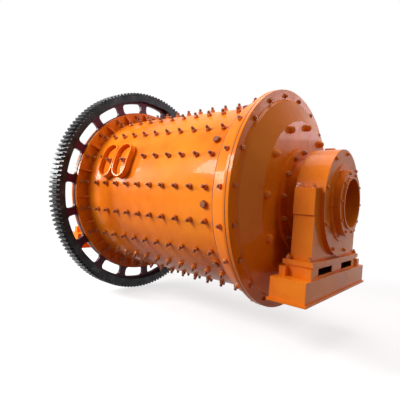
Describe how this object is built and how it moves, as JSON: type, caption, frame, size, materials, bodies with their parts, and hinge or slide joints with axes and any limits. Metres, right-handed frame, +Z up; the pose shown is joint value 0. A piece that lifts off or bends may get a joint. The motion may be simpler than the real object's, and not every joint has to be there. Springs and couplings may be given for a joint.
{
  "type": "rod mill",
  "caption": "Rod mill: horizontal flanged drum with conical heads, slotted ring gear and bored trunnions turning in two pedestal bearings.",
  "frame": {"origin": "centre of the underside of the feed pedestal's base plate", "axes": "+X along the mill axis out of the feed end, +Z up, -Y towards the side with the manhole"},
  "size_m": [3.968, 3.04, 3.0398],
  "materials": {
    "orange_paint": "gloss",
    "maroon_paint": "satin",
    "gear_steel": "oiled",
    "bearing_metal": "satin"
  },
  "bodies": {
    "pedestals": {"feed_base": "orange_paint", "feed_sole": "orange_paint", "feed_bearing_body": "orange_paint", "feed_bearing_liner": "bearing_metal", "feed_bearing_cap": "orange_paint", "feed_outer_cover": "orange_paint", "feed_inner_cover": "orange_paint", "feed_seal_ring": "orange_paint", "feed_oil_plug": "orange_paint", "gear_end_base": "orange_paint", "gear_end_sole": "orange_paint", "gear_end_bearing_body": "orange_paint", "gear_end_bearing_liner": "bearing_metal", "gear_end_bearing_cap": "orange_paint", "gear_end_outer_cover": "orange_paint", "gear_end_inner_cover": "orange_paint", "gear_end_seal_ring": "orange_paint", "gear_end_oil_plug": "orange_paint"},
    "drum": {"shell": "orange_paint", "feed_end_ring": "orange_paint", "gear_end_ring": "orange_paint", "feed_head": "orange_paint", "gear_end_head": "orange_paint", "feed_trunnion": "orange_paint", "gear_end_trunnion": "orange_paint", "feed_collar": "orange_paint", "gear_end_collar": "orange_paint", "gear_web": "maroon_paint", "gear_rim": "gear_steel", "manhole_door": "orange_paint", "manhole_clamp_feed_side": "orange_paint", "manhole_clamp_gear_side": "orange_paint"}
  },
  "joints": [
    {"name": "drum_spin", "type": "hinge", "parent": "pedestals", "child": "drum", "pos_m": [0, 0, 0.93], "axis": [1, 0, 0], "continuous": true}
  ]
}
